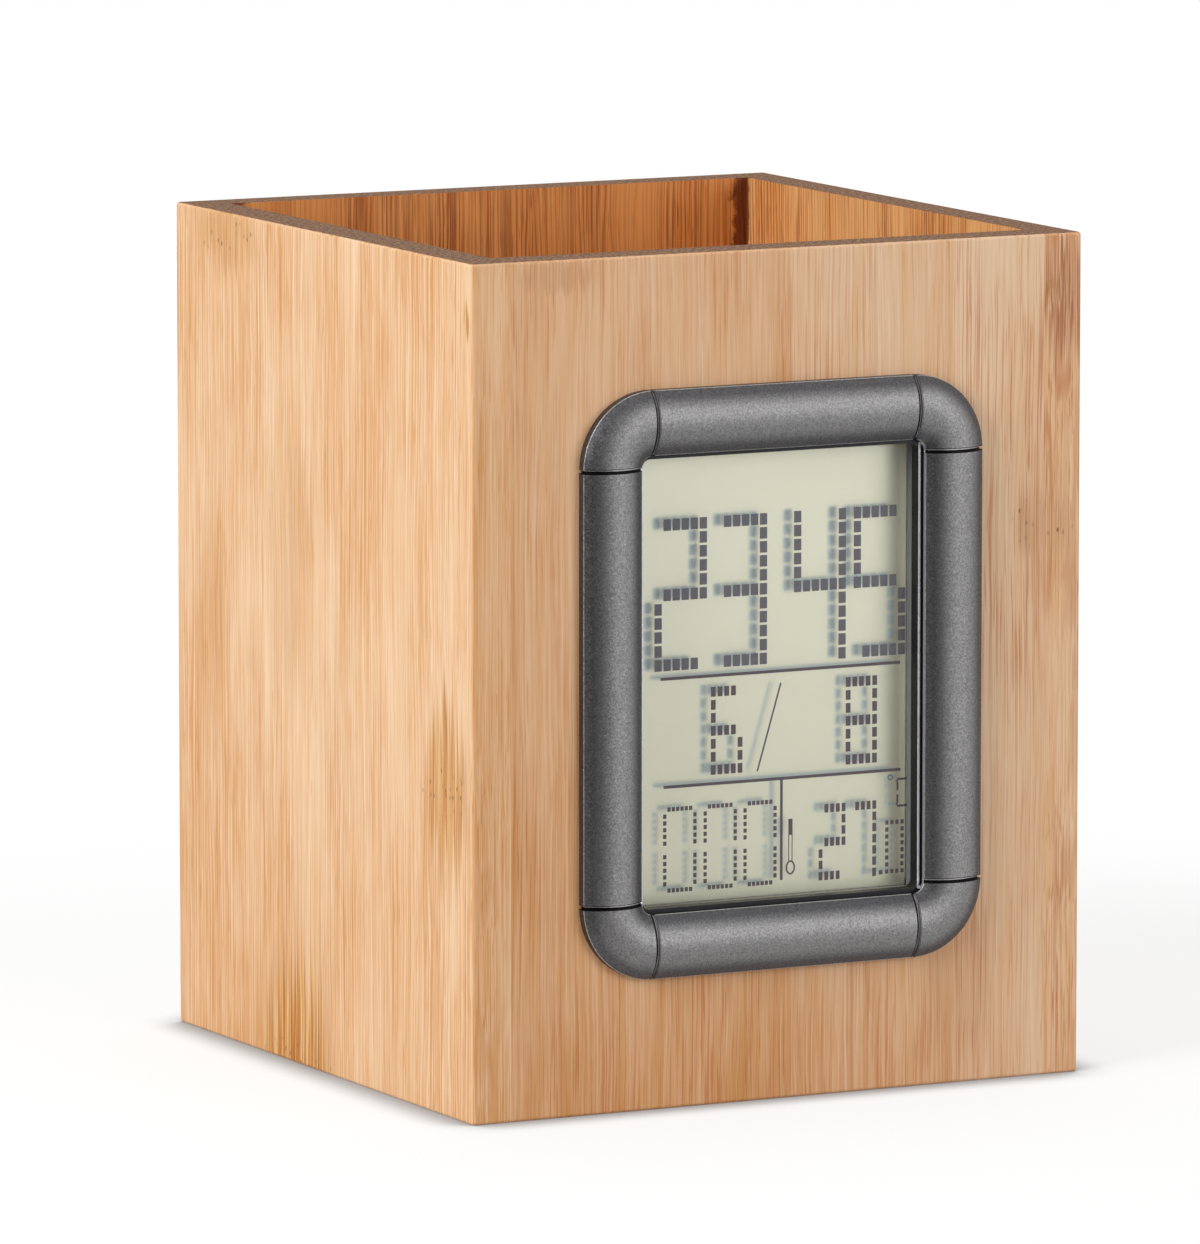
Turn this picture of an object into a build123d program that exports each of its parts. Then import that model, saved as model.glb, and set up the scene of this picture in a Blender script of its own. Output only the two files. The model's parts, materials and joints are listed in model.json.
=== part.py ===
from build123d import *
import os

# Square desk pot of glued bamboo panels, with a digital clock let into its front panel.
# The origin is the centre of the underside, +Z is up and the clock faces -Y. Sizes are in mm.
# On the clock, a depth is measured from the face of the front panel, inwards (+Y).

# Pot
box_width = 80.0
box_depth = 80.0
box_height = 100.0
panel_thickness = 5.0
base_thickness = 5.0
outer_edge_radius = 0.4

# Bezel: half-round bars round the display, with four elbows
bezel_width = 52.4
bezel_height = 68.8
bezel_corner_radius = 9.0
bezel_bar_width = 7.6
bezel_side_height = 1.1
bezel_dome_rise = 1.6
bezel_lip_width = 0.5
bezel_lip_height = 0.3
bezel_overlap = 2.2
flange_thickness = 1.3
groove_width = 0.4
groove_depth = 0.3
crush_rib_height = 0.15
crush_rib_width = 1.2
crush_rib_spacing = 30.0

# Clock body behind the bezel
module_corner_radius = 5.0
cutout_clearance = 0.2
shell_wall = 1.4
shell_edge_radius = 0.7
inner_clearance = 0.1
boss_radius = 2.0
boss_clearance = 0.15
boss_stand_out = 0.5
boss_corner_share = 0.86

# Display cell
glass_margin = 0.6
glass_thickness = 1.1
glass_overlap = 0.3
contact_ledge = 1.7
film_thickness = 0.2
film_clearance = 0.3
film_chamfer = 1.0

# Holder and zebra strips
holder_depth = 5.1
holder_floor = 1.0
strip_thickness = 1.3
strip_end_margin = 1.0

# Circuit board and what stands on it
board_thickness = 1.0
chip_radius = 4.0
chip_height = 1.2
chip_drop = 5.0
crystal_radius = 1.0
crystal_length = 6.0
crystal_drop = 13.0
crystal_lead_radius = 0.2
crystal_lead_length = 1.5
crystal_lead_spacing = 0.8
capacitor_length = 2.0
capacitor_width = 1.25
capacitor_height = 0.9
capacitor_cap_length = 0.35
capacitor_cap_rise = 0.1
capacitor_edge_margin = 6.0
capacitor_spacing = 3.0
capacitor_count = 3
buzzer_radius = 4.5
buzzer_height = 3.5
buzzer_hole_radius = 0.8
buzzer_hole_depth = 2.5
buzzer_edge_margin = 2.5
sensor_bead_radius = 0.9
sensor_lead_radius = 0.2
sensor_lead_spacing = 1.0
sensor_lead_length = 2.6
sensor_drop = 26.5

# Coin cell, its pocket and its contacts
cell_radius = 10.0
cell_thickness = 3.2
cell_edge_radius = 0.4
cell_can_margin = 1.6
cell_can_step = 0.2
cell_rise = 14.0
cell_clearance = 0.4
cell_play = 0.4
pocket_wall = 1.2
pocket_floor = 0.8
pocket_floor_gap = 1.1
contact_rise = 0.5
contact_sheet = 0.2
contact_width = 4.0
leaf_half_length = 6.0
side_contact_gap = 0.05

# Battery door, a hatch that slides up and off
door_side_margin = 1.6
door_lower_margin = 0.6
door_thumb_notch = 3.0
door_thickness = 1.2
door_tongue_width = 0.7
door_tongue_thickness = 0.5
door_clearance = 0.1
door_frame_wall = 1.2
door_grip_width = 14.0
door_grip_height = 0.8
door_grip_depth = 0.35
door_grip_spacing = 1.8
door_grip_count = 5

# Buttons and switches, two columns and two rows
button_width = 8.0
button_height = 5.0
button_corner_radius = 1.2
button_edge_radius = 0.4
button_stand_out = 1.0
button_clearance = 0.2
button_flange_margin = 0.8
button_flange_thickness = 0.8
button_stem_radius = 1.5
button_travel = 0.6
button_column_spacing = 16.0
button_row_spacing = 11.0
button_block_drop = 14.5
switch_width = 6.0
switch_height = 3.0
plunger_radius = 1.5
plunger_height = 0.5

# Vents in the back, by the temperature sensor
vent_length = 8.0
vent_width = 0.8
vent_spacing = 1.7
vent_count = 3

# Screws
case_screw_radius = 0.85
case_screw_head_radius = 1.5
case_screw_head_height = 1.2
case_screw_length = 6.0
pillar_floor = 1.5
board_screw_radius = 0.65
board_screw_head_radius = 1.25
board_screw_head_height = 0.8
board_screw_length = 3.6
board_screw_side_margin = 2.0
board_screw_height = 12.0
screw_clearance = 0.1
thread_clearance = 0.02
cross_slot_width = 0.4
cross_slot_depth_share = 0.6
cross_slot_length_share = 1.3

# How far cutters run past a face
overrun = 1.0

# Angle of an elbow
quarter_turn = 90

# Places worked out from the sizes above
half_width = box_width / 2
half_depth = box_depth / 2
inner_half_width = half_width - panel_thickness
front_face_y = -half_depth
clock_centre_z = box_height / 2

bezel_half_width = bezel_width / 2
bezel_half_height = bezel_height / 2
elbow_centre_x = bezel_half_width - bezel_corner_radius
elbow_centre_z = bezel_half_height - bezel_corner_radius
dome_inner_radius = bezel_corner_radius - bezel_bar_width
opening_radius = dome_inner_radius - bezel_lip_width
opening_width = 2 * (elbow_centre_x + opening_radius)
opening_height = 2 * (elbow_centre_z + opening_radius)

module_width = bezel_width - 2 * bezel_overlap
module_height = bezel_height - 2 * bezel_overlap
cavity_width = module_width - 2 * shell_wall
cavity_height = module_height - 2 * shell_wall
cavity_radius = module_corner_radius - shell_wall
skirt_depth = panel_thickness

front_glass_width = opening_width + 2 * glass_margin
rear_glass_height = opening_height + 2 * glass_overlap
front_glass_height = rear_glass_height + 2 * contact_ledge
front_glass_back = flange_thickness + glass_thickness
rear_glass_back = front_glass_back + glass_thickness
film_width = opening_width - 2 * film_clearance
film_height = opening_height - 2 * film_clearance
strip_centre_height = (rear_glass_height + contact_ledge) / 2
strip_length = front_glass_width - 2 * strip_end_margin

boss_x = front_glass_width / 2 + inner_clearance + boss_radius
boss_z = cavity_height / 2 - boss_corner_share * module_corner_radius
board_front = flange_thickness + holder_depth
board_back = board_front + board_thickness
boss_end = board_back + boss_stand_out
pillar_seat = boss_end + pillar_floor

pocket_radius = cell_radius + cell_clearance
pocket_floor_front = board_back + pocket_floor_gap
pocket_floor_back = pocket_floor_front + pocket_floor
cell_front = pocket_floor_back + contact_rise
cell_back = cell_front + cell_thickness
module_depth = cell_back + cell_play + door_thickness
rear_wall_front = module_depth - shell_wall

door_front = module_depth - door_thickness
door_floor = door_front - door_clearance
door_half_width = pocket_radius + door_side_margin
door_bottom = cell_rise - pocket_radius - door_lower_margin
door_top = module_height / 2 - door_thumb_notch
tongue_half_width = door_half_width + door_tongue_width

switch_back = board_back + switch_height
button_stem_end = switch_back + plunger_height + button_travel + inner_clearance
button_flange_back = rear_wall_front - inner_clearance
button_flange_front = button_flange_back - button_flange_thickness
button_columns = (-button_column_spacing / 2, button_column_spacing / 2)
upper_row = button_row_spacing / 2 - button_block_drop
lower_row = upper_row - button_row_spacing
button_rows = (upper_row, lower_row)

board_half_width = cavity_width / 2 - inner_clearance
board_screw_x = cavity_width / 2 - board_screw_side_margin
buzzer_offset = board_half_width - buzzer_edge_margin - buzzer_radius
capacitor_offset = board_half_width - capacitor_edge_margin - capacitor_length / 2


def both_signs(x, z):
    """The four places that mirror one place across the clock's two middle lines."""
    return [(x, z), (-x, z), (-x, -z), (x, -z)]


def clock_plane(depth, x=0, z=0):
    """A plane parallel to the front face, its X to the right and its Y up."""
    origin = (x, front_face_y + depth, clock_centre_z + z)
    return Plane(origin=origin, x_dir=(1, 0, 0), z_dir=(0, -1, 0))


def slab(outline, near, far, x=0, z=0):
    """An outline seen from the front, as a solid between two depths."""
    return extrude(clock_plane(far, x, z) * outline, amount=far - near)


def rounded(width, height, radius):
    """A rectangle with round corners."""
    return RectangleRounded(width, height, radius)


def write(shape, node):
    """Writes one node, whose name is the name of its file."""
    export_step(shape, "parts/" + node + ".step")


# The pot


def edges_on_face(solid, axis, place):
    """The edges of a solid that lie in one plane square to an axis."""
    return solid.edges().filter_by_position(axis, place, place)


def side_panel(sign):
    """A side wall. It runs the full depth, so its ends show at the front and the back."""
    centre_x = sign * (half_width - panel_thickness / 2)
    panel = Pos(centre_x, 0, box_height / 2) * Box(panel_thickness, box_depth, box_height)
    outer = edges_on_face(panel, Axis.X, sign * half_width)
    ends = edges_on_face(panel, Axis.Y, -half_depth) + edges_on_face(panel, Axis.Y, half_depth)
    rounded_edges = outer + ends.filter_by(Axis.X)
    return fillet(rounded_edges, outer_edge_radius)


def cross_panel(sign):
    """A wall that stands between the side walls."""
    centre_y = sign * (half_depth - panel_thickness / 2)
    panel = Pos(0, centre_y, box_height / 2) * Box(2 * inner_half_width, panel_thickness, box_height)
    outer = edges_on_face(panel, Axis.Y, sign * half_depth).filter_by(Axis.X)
    return fillet(outer, outer_edge_radius)


def front_panel():
    """The front wall, with the cut-out that the clock is pushed into."""
    width = module_width + 2 * cutout_clearance
    height = module_height + 2 * cutout_clearance
    outline = rounded(width, height, module_corner_radius + cutout_clearance)
    return cross_panel(-1) - slab(outline, -overrun, panel_thickness + overrun)


def base_panel():
    """The floor, between the four walls and flush with their lower edges."""
    inner_depth = box_depth - 2 * panel_thickness
    return Pos(0, 0, base_thickness / 2) * Box(2 * inner_half_width, inner_depth, base_thickness)


# The bezel


def bar_profile(inset):
    """Half-round section of a bar. X runs outwards from the elbow's centre, Y off the wood."""
    side_top = bezel_side_height - inset
    outer = bezel_corner_radius - inset
    crown = (dome_inner_radius + outer) / 2
    crown_height = bezel_side_height + bezel_dome_rise - inset
    section = Polyline(
        (outer, side_top),
        (outer, 0),
        (opening_radius, 0),
        (opening_radius, bezel_lip_height),
        (dome_inner_radius, bezel_lip_height),
        (dome_inner_radius, side_top),
    )
    dome = ThreePointArc((dome_inner_radius, side_top), (crown, crown_height), (outer, side_top))
    return make_face(section + dome)


def bezel_quarter():
    """The upper right elbow with half of each bar that it joins, and the grooves at its ends."""
    corner = (elbow_centre_x, front_face_y, clock_centre_z + elbow_centre_z)
    upright_plane = Plane(origin=corner, x_dir=(1, 0, 0), z_dir=(0, 0, -1))
    level_plane = Plane(origin=corner, x_dir=(0, 0, 1), z_dir=(1, 0, 0))
    profile = bar_profile(0)
    groove = bar_profile(-overrun) - bar_profile(groove_depth)
    half_groove = groove_width / 2
    quarter = extrude(upright_plane * profile, amount=elbow_centre_z)
    quarter += extrude(level_plane * profile, amount=-elbow_centre_x)
    quarter += revolve(upright_plane * profile, Axis(corner, (0, -1, 0)), quarter_turn)
    quarter -= extrude(upright_plane * groove, amount=half_groove, both=True)
    quarter -= extrude(level_plane * groove, amount=half_groove, both=True)
    return quarter


def crush_ribs():
    """Small ribs on the skirt that grip the cut-out, four on each long side."""
    ribs = []
    rib = Rectangle(2 * crush_rib_height, crush_rib_width)
    for x, z in both_signs(module_width / 2, crush_rib_spacing / 2):
        ribs.append(slab(rib, inner_clearance, skirt_depth - inner_clearance, x, z))
    return ribs


def clock_bezel():
    """The painted frame, with the flange and skirt behind it that carry the clock."""
    quarter = bezel_quarter()
    half = quarter + mirror(quarter, Plane.YZ)
    frame = half + mirror(half, Plane.XY.offset(clock_centre_z))
    outer = rounded(module_width, module_height, module_corner_radius)
    inner = rounded(cavity_width, cavity_height, cavity_radius)
    opening = rounded(opening_width, opening_height, opening_radius)
    frame += slab(outer - opening, 0, flange_thickness)
    frame += slab(outer - inner, flange_thickness, skirt_depth)
    for x, z in both_signs(boss_x, boss_z):
        frame += slab(Circle(boss_radius), flange_thickness, boss_end, x, z)
    for rib in crush_ribs():
        frame += rib
    pilot = Circle(case_screw_radius + thread_clearance)
    for x, z in both_signs(boss_x, boss_z):
        frame -= slab(pilot, pillar_seat - case_screw_length - inner_clearance, boss_end + overrun, x, z)
    return frame


# The display


def film(width, height):
    """A thin film with its corners cut off."""
    outline = Rectangle(width, height)
    return chamfer(outline.vertices(), film_chamfer)


def front_polariser():
    return slab(film(film_width, film_height), flange_thickness - film_thickness, flange_thickness)


def rear_polariser():
    outline = film(front_glass_width - film_clearance, rear_glass_height - film_clearance)
    return slab(outline, rear_glass_back, rear_glass_back + film_thickness)


def lcd_front_glass():
    return slab(Rectangle(front_glass_width, front_glass_height), flange_thickness, front_glass_back)


def lcd_rear_glass():
    return slab(Rectangle(front_glass_width, rear_glass_height), front_glass_back, rear_glass_back)


def inner_outline(clearance):
    """The outline of a plate that fits inside the skirt and past the four bosses."""
    width = cavity_width - 2 * clearance
    height = cavity_height - 2 * clearance
    outline = rounded(width, height, cavity_radius - clearance)
    for x, z in both_signs(boss_x, boss_z):
        outline -= Pos(x, z) * Circle(boss_radius + boss_clearance)
    return outline


def lcd_holder():
    """The frame that presses the cell against the flange and guides the two zebra strips."""
    holder = slab(inner_outline(inner_clearance), flange_thickness, board_front)
    margin = 2 * inner_clearance
    floor_front = rear_glass_back + film_thickness + inner_clearance
    floor_back = floor_front + holder_floor
    front_pocket = Rectangle(front_glass_width + margin, front_glass_height + margin)
    rear_pocket = Rectangle(front_glass_width + margin, rear_glass_height + margin)
    holder -= slab(front_pocket, flange_thickness - overrun, front_glass_back)
    holder -= slab(rear_pocket, front_glass_back - inner_clearance, floor_front)
    holder -= slab(Rectangle(film_width, film_height), floor_back, board_front + overrun)
    slot = Rectangle(strip_length + margin, strip_thickness + margin)
    for side in (-1, 1):
        holder -= slab(slot, flange_thickness, board_front + overrun, 0, side * strip_centre_height)
    pilot = Circle(board_screw_radius + thread_clearance)
    pilot_end = board_back - board_screw_length - inner_clearance
    for x, z in both_signs(board_screw_x, board_screw_height):
        holder -= slab(pilot, pilot_end, board_front + overrun, x, z)
    return holder


def zebra_strips():
    """Two rubber connectors, from the glass's contact ledges to the board."""
    strips = []
    strip = Rectangle(strip_length, strip_thickness)
    for side in (-1, 1):
        strips.append(slab(strip, front_glass_back, board_front, 0, side * strip_centre_height))
    return Compound(children=strips)


# The board


def circuit_board():
    board = slab(inner_outline(inner_clearance), board_front, board_back)
    hole = Circle(board_screw_radius + screw_clearance)
    for x, z in both_signs(board_screw_x, board_screw_height):
        board -= slab(hole, board_front - overrun, board_back + overrun, x, z)
    return board


def screw(head_radius, head_height, shank_radius, length, seat, x, z):
    """A pan-head screw seen from behind, its head on a seat at one depth and its shank to the front."""
    body = slab(Circle(head_radius), seat, seat + head_height, x, z)
    body += slab(Circle(shank_radius), seat - length, seat, x, z)
    slot_depth = cross_slot_depth_share * head_height
    slot_length = cross_slot_length_share * head_radius
    slot_front = seat + head_height - slot_depth
    slot_back = seat + head_height + overrun
    body -= slab(Rectangle(slot_length, cross_slot_width), slot_front, slot_back, x, z)
    body -= slab(Rectangle(cross_slot_width, slot_length), slot_front, slot_back, x, z)
    return body


def board_screws():
    screws = []
    for x, z in both_signs(board_screw_x, board_screw_height):
        screws.append(screw(
            board_screw_head_radius, board_screw_head_height,
            board_screw_radius, board_screw_length, board_back, x, z,
        ))
    return Compound(children=screws)


def case_screws():
    screws = []
    for x, z in both_signs(boss_x, boss_z):
        screws.append(screw(
            case_screw_head_radius, case_screw_head_height,
            case_screw_radius, case_screw_length, pillar_seat, x, z,
        ))
    return Compound(children=screws)


def chip_blob():
    """The drop of black resin over the clock's chip."""
    cap_radius = (chip_radius ** 2 + chip_height ** 2) / (2 * chip_height)
    centre_y = front_face_y + board_back + chip_height - cap_radius
    ball = Pos(0, centre_y, clock_centre_z - chip_drop) * Sphere(cap_radius)
    space = Rectangle(2 * cap_radius, 2 * cap_radius)
    return ball & slab(space, board_back, board_back + cap_radius, 0, -chip_drop)


def quartz_crystal():
    """A small can that lies on the board, with two leads."""
    centre_y = front_face_y + board_back + crystal_radius
    end = (-crystal_length / 2, centre_y, clock_centre_z - crystal_drop)
    can_plane = Plane(origin=end, x_dir=(0, 1, 0), z_dir=(1, 0, 0))
    crystal = extrude(can_plane * Circle(crystal_radius), amount=crystal_length)
    for side in (-1, 1):
        place = Pos(0, side * crystal_lead_spacing / 2) * Circle(crystal_lead_radius)
        crystal += extrude(can_plane * place, amount=-crystal_lead_length)
        lead_x = -crystal_length / 2 - crystal_lead_length
        lead_z = -crystal_drop + side * crystal_lead_spacing / 2
        pad = Rectangle(2 * crystal_lead_radius, 2 * crystal_lead_radius)
        pad_back = board_back + crystal_radius + crystal_lead_radius
        crystal += slab(pad, board_back, pad_back, lead_x, lead_z)
    return crystal


def chip_capacitors():
    """Ceramic chips in a row, each with two metal end caps that stand a little proud."""
    chips = []
    middle = (capacitor_count - 1) / 2
    for index in range(capacitor_count):
        z = (index - middle) * capacitor_spacing
        proud = capacitor_height + capacitor_cap_rise
        body = Rectangle(capacitor_length, capacitor_width)
        chip = slab(body, board_back, board_back + capacitor_height, capacitor_offset, z)
        for side in (-1, 1):
            x = capacitor_offset + side * (capacitor_length - capacitor_cap_length) / 2
            cap = Rectangle(capacitor_cap_length, capacitor_width)
            chip += slab(cap, board_back, board_back + proud, x, z)
        chips.append(chip)
    return Compound(children=chips)


def alarm_buzzer():
    """A round sounder with a hole in its lid."""
    back = board_back + buzzer_height
    body = slab(Circle(buzzer_radius), board_back, back, -buzzer_offset)
    return body - slab(Circle(buzzer_hole_radius), back - buzzer_hole_depth, back + overrun, -buzzer_offset)


def temperature_sensor():
    """A bead on two leads, close behind the vents."""
    bead_depth = board_back + sensor_lead_length
    place = Pos(0, front_face_y + bead_depth, clock_centre_z - sensor_drop)
    sensor = place * Sphere(sensor_bead_radius)
    for side in (-1, 1):
        x = side * sensor_lead_spacing / 2
        sensor += slab(Circle(sensor_lead_radius), board_back, bead_depth, x, -sensor_drop)
    return sensor


def key_switches():
    """Four press switches. Their plungers stand at their pressed height."""
    switches = []
    for z in button_rows:
        for x in button_columns:
            body = slab(Rectangle(switch_width, switch_width), board_back, switch_back, x, z)
            body += slab(Circle(plunger_radius), switch_back, switch_back + plunger_height, x, z)
            switches.append(body)
    return Compound(children=switches)


# The coin cell and its contacts


def coin_cell():
    """A coin cell: the cap faces the board, the wider can faces the door."""
    can = slab(Circle(cell_radius), cell_front + cell_can_step, cell_back, 0, cell_rise)
    can = fillet(can.edges().filter_by(GeomType.CIRCLE), cell_edge_radius)
    cap_outline = Circle(cell_radius - cell_can_margin)
    return can + slab(cap_outline, cell_front, cell_front + cell_thickness / 2, 0, cell_rise)


def contact_foot(x, z, top, width, length):
    """The leg of a contact, which stands on the board."""
    return slab(Rectangle(width, length), board_back, top, x, z)


def negative_contact():
    """A leaf that lies on the pocket's floor and bows up to the cell's cap."""
    ends = leaf_half_length
    low = pocket_floor_back
    high = low + contact_sheet
    crest = cell_front - contact_sheet
    under = ThreePointArc((-ends, low), (0, crest), (ends, low))
    over = ThreePointArc((ends, high), (0, cell_front), (-ends, high))
    sides = Line((ends, low), (ends, high)) + Line((-ends, high), (-ends, low))
    corner = (0, front_face_y, clock_centre_z + cell_rise - contact_width / 2)
    leaf_plane = Plane(origin=corner, x_dir=(1, 0, 0), z_dir=(0, 0, 1))
    leaf = extrude(leaf_plane * make_face(under + over + sides), amount=contact_width)
    return leaf + contact_foot(-ends + contact_sheet / 2, cell_rise, high, contact_sheet, contact_width)


def positive_contact():
    """A strip that stands beside the cell and touches its rim."""
    x = cell_radius + side_contact_gap + contact_sheet / 2
    top = cell_back - cell_edge_radius
    return contact_foot(x, cell_rise, top, contact_sheet, contact_width)


# The rear case, its door and its buttons


def case_envelope():
    """The outside of the rear case with the door in place, its back edge rounded."""
    block = slab(rounded(module_width, module_height, module_corner_radius), skirt_depth, module_depth)
    back_edges = edges_on_face(block, Axis.Y, front_face_y + module_depth)
    return fillet(back_edges, shell_edge_radius)


def door_channel(gap, top):
    """The T-shaped space of the door up to a height, wider where its tongues run, grown by a gap."""
    length = top - door_bottom + gap
    centre_z = door_bottom - gap + length / 2
    tongue_back = door_front + door_tongue_thickness + gap
    lower = Rectangle(2 * (tongue_half_width + gap), length)
    upper = Rectangle(2 * (door_half_width + gap), length)
    channel = slab(lower, door_front - gap, tongue_back, 0, centre_z)
    return channel + slab(upper, tongue_back - gap, module_depth + overrun, 0, centre_z)


def battery_door():
    """The hatch, flush with the back of the case, with grip lines and a thumb notch above it."""
    door = case_envelope() & door_channel(0, door_top)
    line = Rectangle(door_grip_width, door_grip_height)
    first = door_top - door_grip_count * door_grip_spacing
    for index in range(door_grip_count - 1):
        z = first + index * door_grip_spacing
        door -= slab(line, module_depth - door_grip_depth, module_depth + overrun, 0, z)
    return door


def rear_case():
    """The shell behind the board, with the cell's pocket, four pillars and the button holes."""
    case = case_envelope()
    cavity = rounded(cavity_width, cavity_height, cavity_radius)
    case -= slab(cavity, skirt_depth - overrun, rear_wall_front)
    case += case_door_frame()
    case += slab(Circle(pocket_radius + pocket_wall), pocket_floor_front, door_floor, 0, cell_rise)
    for x, z in both_signs(boss_x, boss_z):
        case += slab(Circle(boss_radius), boss_end, rear_wall_front, x, z)
        case -= slab(Circle(boss_radius + boss_clearance), skirt_depth - overrun, boss_end, x, z)
    case -= slab(Circle(pocket_radius), pocket_floor_back, module_depth, 0, cell_rise)
    case -= door_channel(door_clearance, module_height / 2 + overrun)
    return case - case_holes()


def case_door_frame():
    """The block that the door's channel is cut in, inside the shell."""
    half = tongue_half_width + door_clearance + door_frame_wall
    bottom = door_bottom - door_clearance - door_frame_wall
    top = cavity_height / 2 + inner_clearance
    front = door_floor - door_frame_wall
    outline = Rectangle(2 * half, top - bottom)
    return slab(outline, front, module_depth - door_clearance, 0, (top + bottom) / 2) & case_envelope()


def case_holes():
    """Everything that goes through the case: screws, buttons, vents and contact slots."""
    back = module_depth + overrun
    holes = []
    for x, z in both_signs(boss_x, boss_z):
        holes.append(slab(Circle(case_screw_radius + screw_clearance), boss_end - overrun, back, x, z))
        holes.append(slab(Circle(case_screw_head_radius + screw_clearance), pillar_seat, back, x, z))
    key_width = button_width + 2 * button_clearance
    key_height = button_height + 2 * button_clearance
    key = rounded(key_width, key_height, button_corner_radius + button_clearance)
    for z in button_rows:
        for x in button_columns:
            holes.append(slab(key, rear_wall_front - overrun, back, x, z))
    vent = SlotOverall(vent_length, vent_width)
    for index in range(vent_count):
        z = -sensor_drop - (index - (vent_count - 1) / 2) * vent_spacing
        holes.append(slab(vent, rear_wall_front - overrun, back, 0, z))
    slot = Rectangle(contact_sheet + 4 * inner_clearance, contact_width + 2 * inner_clearance)
    leaf_x = -leaf_half_length + contact_sheet / 2
    side_x = cell_radius + side_contact_gap + contact_sheet / 2
    slot_front = pocket_floor_front - overrun
    holes.append(slab(slot, slot_front, pocket_floor_back + contact_sheet, leaf_x, cell_rise))
    holes.append(slab(slot, slot_front, cell_back, side_x, cell_rise))
    return holes


def button(x, z):
    """A key that stands out of the back of the case and is held in by its flange."""
    top = module_depth + button_stand_out
    cap = slab(rounded(button_width, button_height, button_corner_radius), button_flange_front, top, x, z)
    cap = fillet(edges_on_face(cap, Axis.Y, front_face_y + top), button_edge_radius)
    flange_width = button_width + 2 * button_flange_margin
    flange_height = button_height + 2 * button_flange_margin
    flange = rounded(flange_width, flange_height, button_corner_radius)
    key = cap + slab(flange, button_flange_front, button_flange_back, x, z)
    return key + slab(Circle(button_stem_radius), button_stem_end, button_flange_front, x, z)


os.makedirs("parts", exist_ok=True)

write(side_panel(-1), "left_panel")
write(side_panel(1), "right_panel")
write(front_panel(), "front_panel")
write(cross_panel(1), "back_panel")
write(base_panel(), "base_panel")

write(clock_bezel(), "clock_bezel")
write(front_polariser(), "front_polariser")
write(lcd_front_glass(), "lcd_front_glass")
write(lcd_rear_glass(), "lcd_rear_glass")
write(rear_polariser(), "rear_polariser")
write(lcd_holder(), "lcd_holder")
write(zebra_strips(), "zebra_strips")

write(circuit_board(), "circuit_board")
write(chip_blob(), "chip_blob")
write(quartz_crystal(), "quartz_crystal")
write(chip_capacitors(), "chip_capacitors")
write(alarm_buzzer(), "alarm_buzzer")
write(temperature_sensor(), "temperature_sensor")
write(key_switches(), "key_switches")
write(board_screws(), "board_screws")

write(coin_cell(), "coin_cell")
write(positive_contact(), "positive_contact")
write(negative_contact(), "negative_contact")

write(rear_case(), "rear_case")
write(battery_door(), "battery_door")
write(case_screws(), "case_screws")
button_names = (("mode_button", "set_button"), ("up_button", "down_button"))
for row, z in zip(button_names, button_rows):
    for name, x in zip(row, button_columns):
        write(button(x, z), name)
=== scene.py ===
import bpy
import bmesh
import json
import math
from mathutils import Matrix, Vector


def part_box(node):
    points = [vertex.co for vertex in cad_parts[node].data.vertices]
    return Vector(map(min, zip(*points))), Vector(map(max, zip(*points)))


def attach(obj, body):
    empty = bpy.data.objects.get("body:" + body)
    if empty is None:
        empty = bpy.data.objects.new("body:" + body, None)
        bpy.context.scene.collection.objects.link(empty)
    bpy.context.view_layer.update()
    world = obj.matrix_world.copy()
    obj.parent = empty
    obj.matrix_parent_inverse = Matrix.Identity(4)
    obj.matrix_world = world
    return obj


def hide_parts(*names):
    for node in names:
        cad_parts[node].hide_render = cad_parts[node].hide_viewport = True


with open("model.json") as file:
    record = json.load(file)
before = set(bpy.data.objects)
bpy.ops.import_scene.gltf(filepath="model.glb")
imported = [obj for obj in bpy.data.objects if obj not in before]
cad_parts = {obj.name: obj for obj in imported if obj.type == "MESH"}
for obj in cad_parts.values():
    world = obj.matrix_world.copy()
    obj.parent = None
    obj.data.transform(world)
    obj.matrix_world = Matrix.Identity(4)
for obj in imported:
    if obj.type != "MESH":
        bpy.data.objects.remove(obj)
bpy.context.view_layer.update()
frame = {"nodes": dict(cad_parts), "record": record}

# Pen holder with a clock: what the CAD frame doesn't hold, and the finish of every surface.
# Lengths in the dictionaries are in mm and are turned to metres by mm().


# One length, or several as a tuple, from millimetres to metres.
def mm(*values):
    scaled = tuple(v / 1000 for v in values)
    return scaled[0] if len(scaled) == 1 else scaled


# An sRGB hex colour as the linear RGBA that shaders take.
def hexColour(code):
    channels = [int(code[i:i + 2], 16) / 255 for i in (0, 2, 4)]
    linear = [c / 12.92 if c <= 0.04045 else ((c + 0.055) / 1.055) ** 2.4 for c in channels]
    return (*linear, 1.0)


# Adds a node with its settings, values, links and ramp stops, and gives one of its outputs.
def addNode(tree, kind, inputs=None, out=0, stops=None, **settings):
    node = tree.nodes.new("ShaderNode" + kind)
    for name, value in settings.items():
        setattr(node, name, value)
    for key, value in (inputs or {}).items():
        if isinstance(value, bpy.types.NodeSocket):
            tree.links.new(value, node.inputs[key])
        else:
            node.inputs[key].default_value = value
    for index, (place, colour) in enumerate(stops or []):
        spot = node.color_ramp.elements[index] if index < 2 else node.color_ramp.elements.new(place)
        spot.position = place
        spot.color = colour
    return node if out is None else node.outputs[out]


# An empty material with its node tree, and the object coordinates in millimetres.
def newMaterial(name):
    material = bpy.data.materials.new(name)
    material.use_nodes = True
    tree = material.node_tree
    tree.nodes.clear()
    place = addNode(tree, "TexCoord", out="Object")
    spot = addNode(tree, "VectorMath", {0: place, "Scale": 1000.0}, operation="SCALE")
    return material, tree, spot


def finishMaterial(material, tree, shader):
    addNode(tree, "OutputMaterial", {"Surface": shader}, out=None)
    return material


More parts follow.
